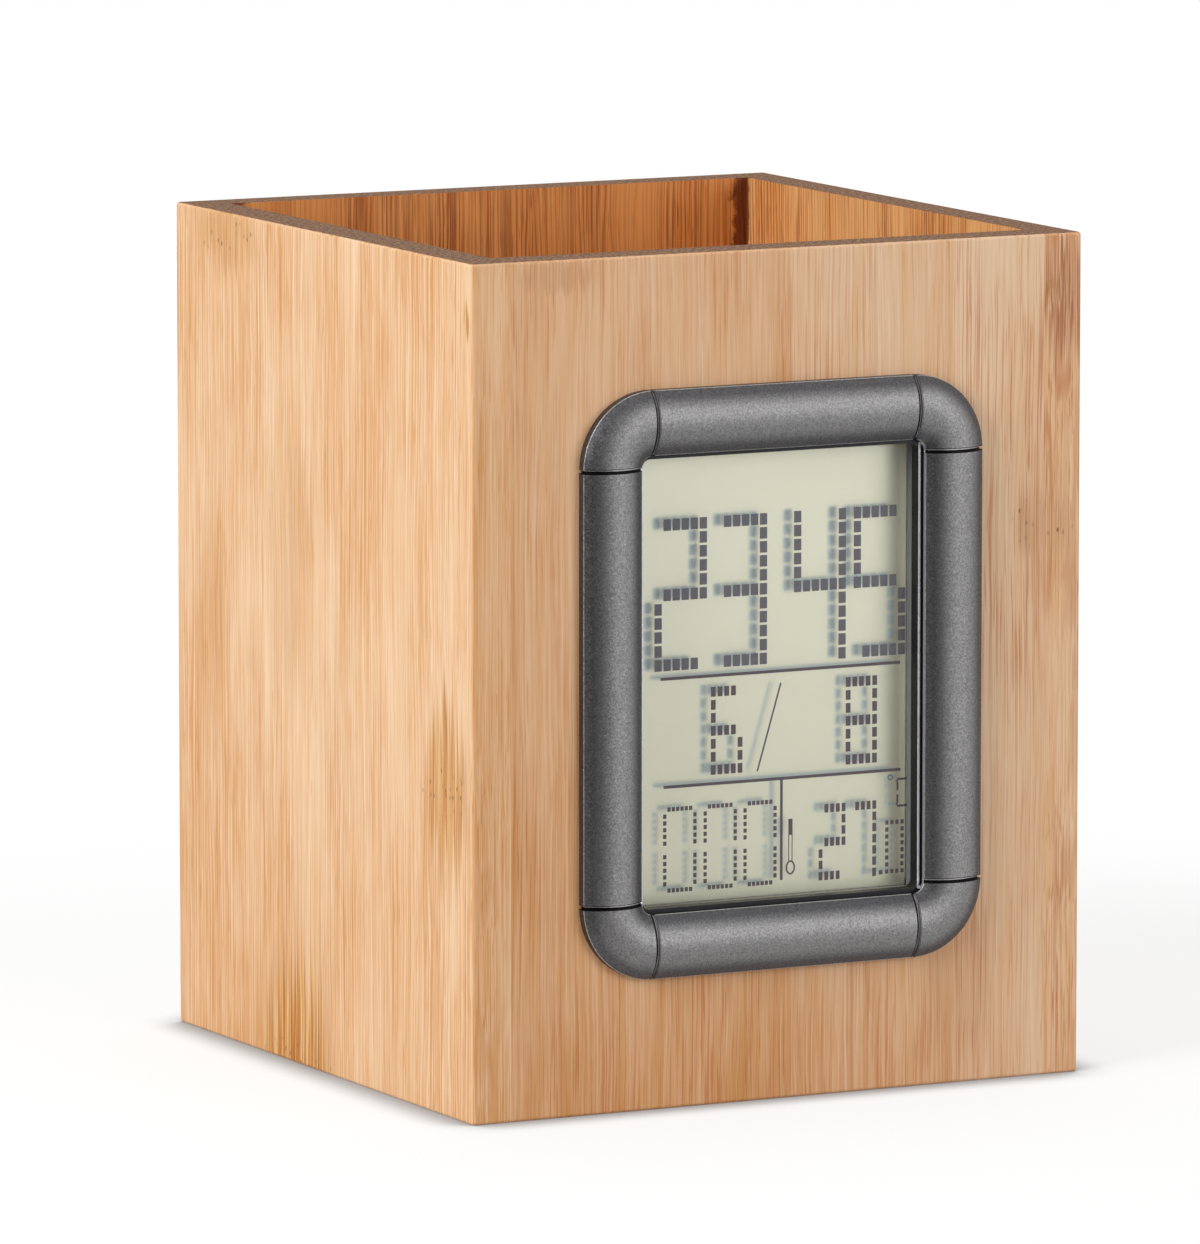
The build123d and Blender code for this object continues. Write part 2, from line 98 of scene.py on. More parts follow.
# A colour with others laid over it in turn, each as far as its share says.
def layered(tree, colour, *covers):
    for share, cover in covers:
        colour = addNode(tree, "Mix", {0: share, 6: colour, 7: cover}, out=2,
                         data_type="RGBA")
    return colour


def grey(level):
    return (level, level, level, 1.0)


# Camera: at the photograph's angle, from far off with a long lens; mm and degrees
camera = {
    "azimuth": -27.03,
    "elevation": 7.83,
    "distance": 1394.3,
    "target": (-3.08, 0.0, 51.55),
    "lens": 338.3,
    "sensorHeight": 36.0,
}


def makeCamera():
    turn = math.radians(camera["azimuth"])
    lift = math.radians(camera["elevation"])
    flat = math.cos(lift)
    back = Vector((math.sin(turn) * flat, -math.cos(turn) * flat, math.sin(lift)))
    target = Vector(mm(*camera["target"]))
    data = bpy.data.cameras.new("camera")
    data.sensor_fit = "VERTICAL"
    data.sensor_height = camera["sensorHeight"]
    data.lens = camera["lens"]
    data.clip_start = 0.01
    eye = bpy.data.objects.new("camera", data)
    eye.location = target + back * mm(camera["distance"])
    eye.rotation_euler = back.to_track_quat("Z", "Y").to_euler()
    bpy.context.scene.collection.objects.link(eye)
    bpy.context.scene.camera = eye


# Studio: big soft boxes, a pale world and a white floor that keeps the shadow
lamps = {
    "keyBox": {"place": (-1100, -300, 550), "size": (700, 700), "watts": 12.1},
    "sideBox": {"place": (670, -1160, 220), "size": (1000, 1000), "watts": 7.9},
    "topBox": {"place": (100, 200, 1100), "size": (700, 700), "watts": 3.4},
}
studio = {
    "aim": (0, 0, 50),
    "world": "FFFFFF",
    "worldStrength": 0.25,
    "floorHalfSize": 2500,
    "floor": "BCBCBC",
    "seenFloor": "959595",
    "floorLift": 0.74,
    "contactLight": 0.18,     # what is left of the lift where the pot stands
    "contactReach": 7.0,
    "contactFrom": 0.45,      # share of open sky at which the shadow is full
    "fadeFrom": 110.0,        # the paper turns plain white by here
    "fadeTo": 190.0,
    "cardNear": 95.0,         # dark card that only shiny surfaces see: on the floor, then upright
    "cardFar": 620.0,
    "cardHeight": 420.0,
    "cardLift": 0.5,          # clear of the floor
    "cardFrom": -118.0,       # degrees round from the front, left is negative
    "cardTo": -2.0,
    "card": "6E6E6E",
}


# 1 for rays that show the backdrop: from the camera, a mirror or through glass.
def cameraLikeRay(tree):
    path = addNode(tree, "LightPath", out=None)
    seen = addNode(tree, "Math", {0: path.outputs["Is Camera Ray"],
                                  1: path.outputs["Is Glossy Ray"]}, operation="MAXIMUM")
    return addNode(tree, "Math", {0: seen, 1: path.outputs["Is Transmission Ray"]},
                   operation="MAXIMUM")


def makeLamps():
    for name, lamp in lamps.items():
        data = bpy.data.lights.new(name, "AREA")
        data.shape = "RECTANGLE"
        data.size, data.size_y = mm(*lamp["size"])
        data.energy = lamp["watts"]
        box = bpy.data.objects.new(name, data)
        box.location = mm(*lamp["place"])
        towards = box.location - Vector(mm(*studio["aim"]))
        box.rotation_euler = towards.to_track_quat("Z", "Y").to_euler()
        bpy.context.scene.collection.objects.link(box)


def makeWorld():
    world = bpy.data.worlds.new("studioWorld")
    bpy.context.scene.world = world
    world.use_nodes = True
    tree = world.node_tree
    tree.nodes.clear()
    colour = hexColour(studio["world"])
    dim = addNode(tree, "Background", {"Color": colour, "Strength": studio["worldStrength"]})
    white = addNode(tree, "Background", {"Color": colour, "Strength": 1.0})
    mix = addNode(tree, "MixShader", {0: cameraLikeRay(tree), 1: dim, 2: white})
    addNode(tree, "OutputWorld", {"Surface": mix}, out=None)


def makeFloor():
    bm = bmesh.new()
    bmesh.ops.create_grid(bm, x_segments=1, y_segments=1, size=mm(studio["floorHalfSize"]))
    mesh = bpy.data.meshes.new("floor")
    bm.to_mesh(mesh)
    bm.free()
    floor = bpy.data.objects.new("floor", mesh)
    bpy.context.scene.collection.objects.link(floor)
    material, tree, spot = newMaterial("paperSweep")  # matt paper, lifted to white for the eye
    plain = addNode(tree, "BsdfDiffuse", {"Color": hexColour(studio["floor"])})
    openSky = addNode(tree, "AmbientOcclusion", {"Distance": mm(studio["contactReach"])},
                      out="AO", samples=16)
    contact = addNode(tree, "MapRange", {
        "Value": openSky, 1: studio["contactFrom"], 2: 1.0, 3: studio["contactLight"],
        4: studio["floorLift"]}, interpolation_type="SMOOTHSTEP")
    lift = addNode(tree, "Emission", {"Strength": contact})
    dim = addNode(tree, "BsdfDiffuse", {"Color": hexColour(studio["seenFloor"])})
    near = addNode(tree, "AddShader", {0: dim, 1: lift})
    far = addNode(tree, "VectorMath", {0: spot}, out="Value", operation="LENGTH")
    fade = addNode(tree, "MapRange", {
        "Value": far, 1: studio["fadeFrom"], 2: studio["fadeTo"]}, interpolation_type="SMOOTHSTEP")
    white = addNode(tree, "Emission", {"Strength": 1.0})
    seen = addNode(tree, "MixShader", {0: fade, 1: near, 2: white})
    mix = addNode(tree, "MixShader", {0: cameraLikeRay(tree), 1: plain, 2: seen})
    mesh.materials.append(finishMaterial(material, tree, mix))


# A dark card curved round the front left, as photographers shade metal with.
def makeCard():
    near, far, height = mm(studio["cardNear"], studio["cardFar"], studio["cardHeight"])
    lift = mm(studio["cardLift"])
    bm = bmesh.new()
    corners = ((0, -near, lift), (0, -far, lift), (0, -far, height))
    profile = [bm.verts.new(corner) for corner in corners]
    edges = [bm.edges.new(pair) for pair in zip(profile, profile[1:])]
    start = math.radians(studio["cardFrom"])
    sweep = math.radians(studio["cardTo"] - studio["cardFrom"])
    bmesh.ops.rotate(bm, verts=bm.verts, cent=(0, 0, 0), matrix=Matrix.Rotation(start, 3, "Z"))
    bmesh.ops.spin(bm, geom=profile + edges, cent=(0, 0, 0), axis=(0, 0, 1), angle=sweep, steps=24)
    mesh = bpy.data.meshes.new("blackCard")
    bm.to_mesh(mesh)
    bm.free()
    card = bpy.data.objects.new("blackCard", mesh)
    bpy.context.scene.collection.objects.link(card)
    material, tree, spot = newMaterial("greyPaper")  # matt card, a darker tone for paint to mirror
    grain = addNode(tree, "TexNoise", {"Vector": spot, "Scale": 0.2})
    rough = addNode(tree, "MapRange", {"Value": grain, 3: 0.8, 4: 1.0})
    plain = addNode(tree, "BsdfDiffuse", {"Color": hexColour(studio["card"]),
                                          "Roughness": rough})
    mesh.materials.append(finishMaterial(material, tree, plain))
    for ray in ("camera", "diffuse", "transmission", "shadow"):
        setattr(card, "visible_" + ray, False)


# Bamboo: flat-pressed strips under a thin satin lacquer, with fine dark fibres and a few nodes.
# Widths run across the grain and lengths along it.
bamboo = {
    "light": "F9DAB6",
    "middle": "EDBF91",
    "dark": "D89C5D",
    "fibre": "CB8231",
    "paleFibre": "F6DCBC",
    "node": "84471C",
    "stain": ("F0CFA0", "E0A860", "CC8632", "A05C1A"),   # from its pale fibres to its burnt ones
    "inside": "F6C88F",
    "insideFibre": "94501F",
    "glue": "5E1F08",
    "glueReach": 0.6,          # from the well's corners
    "endDark": "523626",       # the rim's cut fibres
    "endLight": "B28C6E",
    "fibreWidth": 0.15,        # one fibre bundle
    "fibreLength": 40.0,
    "bandWidth": 3.5,          # bands of closer and sparser fibres
    "bandLength": 60.0,
    "streakWidth": 0.6,        # a few bundles side by side
    "streakLength": 26.0,
    "cloudWidth": 9.0,         # slow drifts of the board's tone
    "cloudLength": 34.0,
    "patchWidth": 14.0,        # where the strip is cut flat and shows its rows of vessels
    "patchLength": 60.0,
    "flameWidth": 0.35,        # tongues in which a stain runs out
    "flameLength": 300.0,
    "cloudTone": 0.9,          # how much each of them changes the board's tone
    "bandTone": 0.6,
    "streakTone": 1.1,
    "fineTone": 1.1,
    "fibreShare": 0.72,        # of the fibre's colour, outside and in the well
    "insideFibreShare": 0.7,
    "sway": 0.3,               # how far a fibre strays sideways
    "rowSpacing": 0.7,         # rows of vessels
    "dotSpacing": 1.0,         # dark vessel ends at a node
    "sandedEdge": 0.2,
    "endTone": -0.16,          # the side panels' narrow ends at the front and back
    "endCast": "FFF7F0",
    "halfWidth": 40.0,         # of the pot
    "wellHalf": 35.0,          # of the well
    "floorFrom": 4.5,          # the well's faces are above this
    "rimFrom": 98.0,
    "gloss": (0.42, 0.58),
    "grainDepth": 0.01,
}
# Each panel: the axis across its strips, the edges of the strips with their tones, and its marks
# as (place, half size, half height of the dots in it, strength). Its other values are shares of
# the board's own, or stand in for them.
panels = {
    "left_panel": {
        "across": "Y", "seed": 3.0, "lines": 0.85,
        "strips": ((-40, 0.64), (-27, 0.56), (-5.5, 0.60), (16, 0.53)),
        "marks": (((-40, 25, 97), (5, 10, 5), 2.4, 0.55), ((-40, 7, 0), (5, 14, 28), 0, 0.4),
                  ((-40, 7, -1), (5, 12, 16), 4.0, 1.0), ((-40, -33, 38), (5, 7, 12), 3.0, 0.85),
                  ((-40, -38.7, 93.5), (2, 0.9, 2.5), 0, 0.8), ((-40, 8, 62), (5, 7, 22), 0, 0.35),
                  ((-40, 30, 50), (5, 5, 16), 0, 0.25),
                  ((-38.5, -40, 28), (1.6, 1.5, 4), 0.3, 0.35)),
    },
    "right_panel": {
        "across": "Y", "seed": 11.0, "lines": 0.8, "ends": 0.34,
        "inside": "F6DCB4", "fibre": "C2703A", "stain": ("E4C3A2", "D6A27A", "C07C52", "A05E38"),
        "strips": ((-40, 0.52), (-21, 0.48), (0.5, 0.58), (22, 0.5)),
        "marks": (((38.0, -40, 92), (4.0, 3, 9), 0, 0.85), ((40, 12, 61), (6, 10, 6), 3.0, 0.6),
                  ((40, 31, 22), (6, 9, 7), 3.0, 0.5), ((37, -40, 66), (2.2, 3, 6), 3.0, 0.3)),
    },
    "front_panel": {
        "across": "X", "seed": 23.0, "lines": 0.68, "fibreWidth": 0.2, "fibreLength": 22.0,
        "dashes": 0.45, "streaks": 0.8, "rows": 0.4, "sparse": 0.01, "pale": 0.35, "paleTop": 0.15,
        "cast": "FCF6F3", "fibre": "C2703A", "stain": ("E4C3A2", "D6A27A", "C98A5C", "A8683C"),
        "strips": ((-35, 0.36), (-20, 0.40), (1.5, 0.58), (23, 0.80)),
        "marks": (((33.6, -40, 66), (3.0, 6, 5), 3.0, 0.35), ((-29, -40, 98), (6, 5, 2.5), 0, 0.4),
                  ((24, -40, 12), (7, 5, 12), 0, 0.3)),
    },
    "back_panel": {
        "across": "X", "seed": 37.0, "lines": 0.8, "glue": 2.0,
        "strips": ((-35, 0.48), (-16, 0.54), (5.5, 0.48), (27, 0.52)),
        "marks": (((-5, 40, 33), (10, 6, 7), 3.0, 0.6), ((16, 40, 66), (9, 6, 6), 3.0, 0.5),
                  ((-26, 40, 58), (8, 6, 6), 3.0, 0.5)),
    },
    "base_panel": {
        "across": "X", "seed": 53.0, "lines": 0.8,
        "strips": ((-35, 0.48), (-22, 0.44), (-0.5, 0.52), (21, 0.46)),
        "marks": (((-10, 10, 2), (9, 5, 6), 0, 0.6), ((10, -18, 2), (9, 5, 6), 0, 0.6)),
    },
}


# Bamboo board for one panel, with its grain up the wall (or along Y on the floor).
def bambooMaterial(name, panel):
    material, tree, spot = newMaterial("bamboo_" + name)
    wood = bamboo
    seed = panel["seed"]
    axes = addNode(tree, "SeparateXYZ", {0: spot}, out=None)
    along = axes.outputs["Y" if name == "base_panel" else "Z"]
    across = axes.outputs[panel["across"]]
    depth = axes.outputs["Z" if name == "base_panel" else "XY"[panel["across"] == "X"]]

    # One tone and one shift of the grain for each strip, whose fibres sway a little
    half = wood["halfWidth"]
    share = addNode(tree, "MapRange", {"Value": across, 1: -half, 2: half})
    stops = [((edge + half) / (2 * half), grey(tone)) for edge, tone in panel["strips"]]
    strip = addNode(tree, "ValToRGB", {0: share}, out=None, stops=stops)
    strip.color_ramp.interpolation = "CONSTANT"
    tone = strip.outputs[0]
    shift = addNode(tree, "Math", {0: tone, 1: 900.0 + seed}, operation="MULTIPLY")
    shifted = addNode(tree, "Math", {0: along, 1: shift}, operation="ADD")
    slow = addNode(tree, "VectorMath", {0: spot, 1: (0.05, 0.05, 0.04), 2: (seed,) * 3},
                   operation="MULTIPLY_ADD")
    wave = addNode(tree, "TexNoise", {"Vector": slow, "Scale": 1.0, "Detail": 2.0})
    swayed = addNode(tree, "Math", {0: wave, 1: wood["sway"] * 4, 2: across},
                     operation="MULTIPLY_ADD")
    place = addNode(tree, "CombineXYZ", {0: swayed, 1: depth, 2: shifted})

    # Noise drawn out along the grain, its grains as wide and long as told.
    def grain(width, length, detail, rough, offset):
        squeeze = (1 / width, 1 / width, 1 / length)
        drawn = addNode(tree, "VectorMath", {0: place, 1: squeeze, 2: (seed + offset,) * 3},
                        operation="MULTIPLY_ADD")
        return addNode(tree, "TexNoise", {"Vector": drawn, "Scale": 1.0, "Detail": detail,
                                          "Roughness": rough})

    width = panel.get("fibreWidth", wood["fibreWidth"])
    length = panel.get("fibreLength", wood["fibreLength"])
    fine = grain(width * 0.6, length * 0.5, 2.0, 0.5, 0.0)
    line = grain(width, length, 2.0, 0.5, 5.5)
    pale = grain(width * 0.8, length * 0.8, 1.0, 0.5, 31.7)
    dash = grain(width * 0.9, length * panel.get("dashes", 0.15), 1.0, 0.5, 7.7)
    band = grain(wood["bandWidth"], wood["bandLength"], 2.0, 0.6, 9.1)
    streak = grain(wood["streakWidth"], wood["streakLength"], 3.0, 0.6, 17.9)
    cloud = grain(wood["cloudWidth"], wood["cloudLength"], 4.0, 0.6, 13.7)
    patch = grain(wood["patchWidth"], wood["patchLength"], 1.0, 0.5, 41.3)
    inner = insideMask(tree, axes)

    # Pale board colour from clouds, bands and the strip's own tone, paler up the panel
    top = panel.get("paleTop", 0)
    rise = addNode(tree, "MapRange", {"Value": along, 1: 0.0, 2: 100.0, 3: -top, 4: top})
    level = addNode(tree, "Math", {0: tone, 1: rise}, operation="ADD")
    ends = addNode(tree, "Math", {0: axes.outputs["Y"]}, operation="ABSOLUTE")
    ends = addNode(tree, "MapRange", {"Value": ends, 1: half - 0.3, 2: half - 0.1,
                                      4: 1.0 if panel["across"] == "Y" else 0.0})
    endTone = wood["endTone"] + panel.get("ends", 0)
    level = addNode(tree, "Math", {0: ends, 1: endTone, 2: level}, operation="MULTIPLY_ADD")
    bold = panel.get("streaks", 1.0)
    for noise, weight in ((cloud, wood["cloudTone"]), (band, wood["bandTone"]),
                          (streak, wood["streakTone"] * bold),
                          (fine, wood["fineTone"] * bold ** 3)):
        part = addNode(tree, "Math", {0: noise, 1: weight, 2: -0.5 * weight},
                       operation="MULTIPLY_ADD")
        level = addNode(tree, "Math", {0: level, 1: part}, operation="ADD")
    board = addNode(tree, "ValToRGB", {0: level}, stops=[
        (0.0, hexColour(wood["dark"])), (1.0, hexColour(wood["light"])),
        (0.45, hexColour(wood["middle"]))])
    cast = layered(tree, hexColour(panel.get("cast", "FFFFFF")), (ends, hexColour(wood["endCast"])))
    board = addNode(tree, "Mix", {0: 1.0, 6: board, 7: cast}, out=2, data_type="RGBA",
                    blend_type="MULTIPLY")

    # Dark fibres, closer in some bands, short dashes between them, and pale fibres
    sparse = addNode(tree, "Math", {0: band, 1: -0.35, 2: 0.74 + panel.get("sparse", 0)},
                     operation="MULTIPLY_ADD")
    above = addNode(tree, "Math", {0: line, 1: sparse}, operation="SUBTRACT")
    lines = addNode(tree, "MapRange", {"Value": above, 1: -0.01, 2: 0.05})
    short = addNode(tree, "MapRange", {"Value": dash, 1: 0.62, 2: 0.68})
    fibres = addNode(tree, "Math", {0: lines, 1: short}, operation="MAXIMUM")
    turns = 2 * math.pi / wood["rowSpacing"]
    drift = addNode(tree, "Math", {0: band, 1: 30.0}, operation="MULTIPLY")
    phase = addNode(tree, "Math", {0: swayed, 1: turns, 2: drift}, operation="MULTIPLY_ADD")
    rows = addNode(tree, "Math", {0: phase}, operation="SINE")
    broken = addNode(tree, "Math", {0: fine, 1: 1.6, 2: rows}, operation="MULTIPLY_ADD")
    rows = addNode(tree, "MapRange", {"Value": broken, 1: 1.0, 2: 1.9})
    flatCut = addNode(tree, "MapRange", {"Value": patch, 1: 0.4, 2: 0.6, 3: 0.15,
                                         4: 0.9 * panel.get("rows", 1.0)})
    flatCut = addNode(tree, "Math", {0: inner, 1: flatCut}, operation="MAXIMUM")
    rows = addNode(tree, "Math", {0: rows, 1: flatCut}, operation="MULTIPLY")
    fibres = addNode(tree, "Math", {0: fibres, 1: rows}, operation="MAXIMUM")
    strength = addNode(tree, "MapRange", {
        "Value": inner, 3: wood["fibreShare"] * panel["lines"], 4: wood["insideFibreShare"]})
    uneven = addNode(tree, "MapRange", {"Value": cloud, 1: 0.62, 2: 0.4, 3: 0.35, 4: 1.25})
    shown = addNode(tree, "Math", {0: fibres, 1: strength}, operation="MULTIPLY")
    shown = addNode(tree, "Math", {0: shown, 1: uneven}, operation="MULTIPLY")
    ink = layered(tree, hexColour(panel.get("fibre", wood["fibre"])),
                  (inner, hexColour(wood["insideFibre"])))
    bright = addNode(tree, "MapRange", {"Value": pale, 1: 0.56, 2: 0.74,
                                        4: panel.get("pale", 0.5)})
    board = layered(tree, board, (bright, hexColour(wood["paleFibre"])), (shown, ink))

    # Marks: a stain that runs out along the fibres like flames, with dark vessel ends in it
    flames = grain(wood["flameWidth"], wood["flameLength"], 3.0, 0.6, 21.3)
    reach = addNode(tree, "Math", {0: flames, 1: 0.5}, operation="SUBTRACT")
    licks = addNode(tree, "CombineXYZ", {2: reach})
    torn = addNode(tree, "Math", {0: streak, 1: 0.6, 2: fine}, operation="MULTIPLY_ADD")
    torn = addNode(tree, "MapRange", {"Value": torn, 1: 0.64, 2: 0.94})
    tones = [hexColour(code) for code in panel.get("stain", wood["stain"])]
    singed = addNode(tree, "ValToRGB", {0: torn}, stops=[
        (0.0, tones[0]), (1.0, tones[3]), (0.3, tones[1]), (0.58, tones[2])])
    around = addNode(tree, "Math", {0: axes.outputs["X"], 1: axes.outputs["Y"]},
                     operation="ADD")
    flat = addNode(tree, "CombineXYZ", {0: around, 1: axes.outputs["Z"]})
    spacing = wood["dotSpacing"]
    dots = addNode(tree, "VectorMath", {0: flat, 1: (1 / spacing, 0.55 / spacing, 1)},
                   operation="MULTIPLY")
    cells = addNode(tree, "TexVoronoi", {"Vector": dots, "Scale": 1.0}, out=None,
                    voronoi_dimensions="2D")
    speck = addNode(tree, "MapRange", {"Value": cells.outputs["Distance"], 1: 0.2, 2: 0.08})
    chosen = addNode(tree, "SeparateXYZ", {0: cells.outputs["Color"]}, out="X")
    chosen = addNode(tree, "MapRange", {"Value": chosen, 1: 0.45, 2: 1.0})
    speck = addNode(tree, "Math", {0: speck, 1: chosen}, operation="MULTIPLY")
    for middle, half, dotHeight, strength in panel["marks"]:
        away = tuple(-value for value in middle)
        long = addNode(tree, "VectorMath", {0: licks, 1: (0, 0, half[2] * 3.0), 2: away},
                       operation="MULTIPLY_ADD")
        off = addNode(tree, "VectorMath", {0: spot, 1: long}, operation="ADD")
        size = tuple(1 / value for value in half)
        unit = addNode(tree, "VectorMath", {0: off, 1: size}, operation="MULTIPLY")
        far = addNode(tree, "VectorMath", {0: unit}, out="Value", operation="LENGTH")
        stain = addNode(tree, "MapRange", {"Value": far, 1: 1.0, 2: 0.5, 4: strength},
                        interpolation_type="SMOOTHSTEP")
        board = layered(tree, board, (stain, singed))
        if dotHeight:
            off = addNode(tree, "VectorMath", {0: spot, 1: away}, operation="ADD")
            size = (1 / half[0], 1 / half[1], 1 / dotHeight)
            unit = addNode(tree, "VectorMath", {0: off, 1: size}, operation="MULTIPLY")
            far = addNode(tree, "VectorMath", {0: unit}, out="Value", operation="LENGTH")
            mask = addNode(tree, "MapRange", {"Value": far, 1: 1.0, 2: 0.8})
            dark = addNode(tree, "Math", {0: mask, 1: speck}, operation="MULTIPLY")
            board = layered(tree, board, (dark, hexColour(wood["node"])))

    # The well's faces are deeper in colour, its corners show glue, and the rim is end grain
    deep = hexColour(panel.get("inside", wood["inside"]))
    deeper = addNode(tree, "Mix", {0: 1.0, 6: board, 7: deep}, out=2,
                     data_type="RGBA", blend_type="MULTIPLY")
    glue = glueMask(tree, spot, axes, inner, panel.get("glue", wood["glueReach"]))
    rim = rimMask(tree, axes)
    board = layered(tree, board, (inner, deeper), (glue, hexColour(wood["glue"])),
                    (rim, endGrain(tree, spot)))
    height = addNode(tree, "Math", {0: fibres, 1: -0.7, 2: fine}, operation="MULTIPLY_ADD")
    normal = addNode(tree, "Bump", {"Height": height, "Strength": 0.3,
                                    "Distance": mm(wood["grainDepth"])})
    shine = addNode(tree, "MapRange", {"Value": fine, 3: wood["gloss"][0],
                                       4: wood["gloss"][1]})
    dull = addNode(tree, "Math", {0: rim, 1: 0.5, 2: shine}, operation="MULTIPLY_ADD")
    shader = addNode(tree, "BsdfPrincipled", {
        "Base Color": board, "Roughness": dull, "Normal": normal, "IOR": 1.45,
        "Specular IOR Level": 0.3})
    return finishMaterial(material, tree, shader)


# 1 on the faces of the well.
def insideMask(tree, axes):
    sideways = addNode(tree, "Math", {0: axes.outputs["X"]}, operation="ABSOLUTE")
    deep = addNode(tree, "Math", {0: axes.outputs["Y"]}, operation="ABSOLUTE")
    far = addNode(tree, "Math", {0: sideways, 1: deep}, operation="MAXIMUM")
    within = addNode(tree, "Math", {0: far, 1: bamboo["wellHalf"] + 0.02},
                     operation="LESS_THAN")
    above = addNode(tree, "Math", {0: axes.outputs["Z"], 1: bamboo["floorFrom"]},
                    operation="GREATER_THAN")
    return addNode(tree, "Math", {0: within, 1: above}, operation="MULTIPLY")


# Dried glue up the inner corners of the well, squeezed out to a ragged edge.
def glueMask(tree, spot, axes, inner, reach):
    sideways = addNode(tree, "Math", {0: axes.outputs["X"]}, operation="ABSOLUTE")
    deep = addNode(tree, "Math", {0: axes.outputs["Y"]}, operation="ABSOLUTE")
    total = addNode(tree, "Math", {0: sideways, 1: deep}, operation="ADD")
    fromCorner = addNode(tree, "Math", {0: 2 * bamboo["wellHalf"], 1: total},
                         operation="SUBTRACT")
    blot = addNode(tree, "TexNoise", {"Vector": spot, "Scale": 0.45, "Detail": 3.0,
                                      "Roughness": 0.65})
    ragged = addNode(tree, "Math", {0: blot, 1: -2 * reach, 2: fromCorner},
                     operation="MULTIPLY_ADD")
    near = addNode(tree, "MapRange", {"Value": ragged, 1: 0.1 * reach,
                                      2: -0.25 * reach, 4: 0.85})
    return addNode(tree, "Math", {0: near, 1: inner}, operation="MULTIPLY")


# 1 on the upward faces of the rim.
def rimMask(tree, axes):
    facing = addNode(tree, "NewGeometry", out="True Normal")
    upward = addNode(tree, "SeparateXYZ", {0: facing}, out="Z")
    top = addNode(tree, "MapRange", {"Value": upward, 1: 0.75, 2: 0.95})
    high = addNode(tree, "Math", {0: axes.outputs["Z"], 1: bamboo["rimFrom"]},
                   operation="GREATER_THAN")
    return addNode(tree, "Math", {0: top, 1: high}, operation="MULTIPLY")


# Cut fibre ends: grey-brown, with fine pale and dark specks.
def endGrain(tree, spot):
    coarse = addNode(tree, "TexNoise", {"Vector": spot, "Scale": 2.0, "Detail": 3.0,
                                        "Roughness": 0.7})
    level = addNode(tree, "MapRange", {"Value": coarse, 1: 0.36, 2: 0.68})
    return layered(tree, hexColour(bamboo["endDark"]), (level, hexColour(bamboo["endLight"])))


# Bezel: dark metallic paint on moulded plastic, satin, with a coarse sparkle. Places across and
# up are from the clock's centre lines, and places in depth are the frame's own Y.
bezelPaint = {
    "centreHeight": 50.0,
    "foot": -40.9,            # of the dome, and its top
    "top": -42.7,
    "crown": "7A7979",
    "paintedShadeFlank": "585759",        # painted shade: the dome's flanks darker than its crown
    "paintedArrisHighlight": "B4B2B0",        # painted highlight along the edge of the dome
    "paintedArrisHighlightAt": (0.1, 0.13, 0.16),   # shares of the dome's rise
    "paintedShadeFlankTo": 0.5,
    "crownFrom": 0.85,
    "flake": 0.15,            # real flakes are finer, drawn this coarse to show
    "flakeTilt": 0.14,
    "flakeTone": 0.27,
    "roughness": 0.46,
    "metallic": 0.9,          # flakes lie under a little binder
    # painted shade in the elbows' grooves, and a painted highlight beside it
    "groove": "141213",
    "grooveShine": "A7A5A8",
    "grooveX": 17.2,          # the elbows' ends
    "grooveZ": 25.4,
    "grooveHalf": (0.28, 0.33),     # half its width, sharp and faded out
    "openingX": 18.12,
    "openingZ": 26.32,
    # painted shade on the lip round the opening, with painted highlights along its edges
    "lipShade": "2A2A2C",
    "lipHighlight": "CBCBD0",
    "lipWidth": 0.56,
    "lipFrom": -41.08,
    "lipEdge": (-40.65, -40.75),
    "shaded": "0E0C0D",       # painted shade: the wall of the opening near black, without metallic paint
    "wallFrom": -39.98,
}


# How far a place is from the middle and from a line, on the same side however it is mirrored.
def offLine(tree, value, line):
    size = addNode(tree, "Math", {0: value}, operation="ABSOLUTE")
    off = addNode(tree, "Math", {0: size, 1: line}, operation="SUBTRACT")
    side = addNode(tree, "Math", {0: value}, operation="SIGN")
    return size, addNode(tree, "Math", {0: off, 1: side}, operation="MULTIPLY")


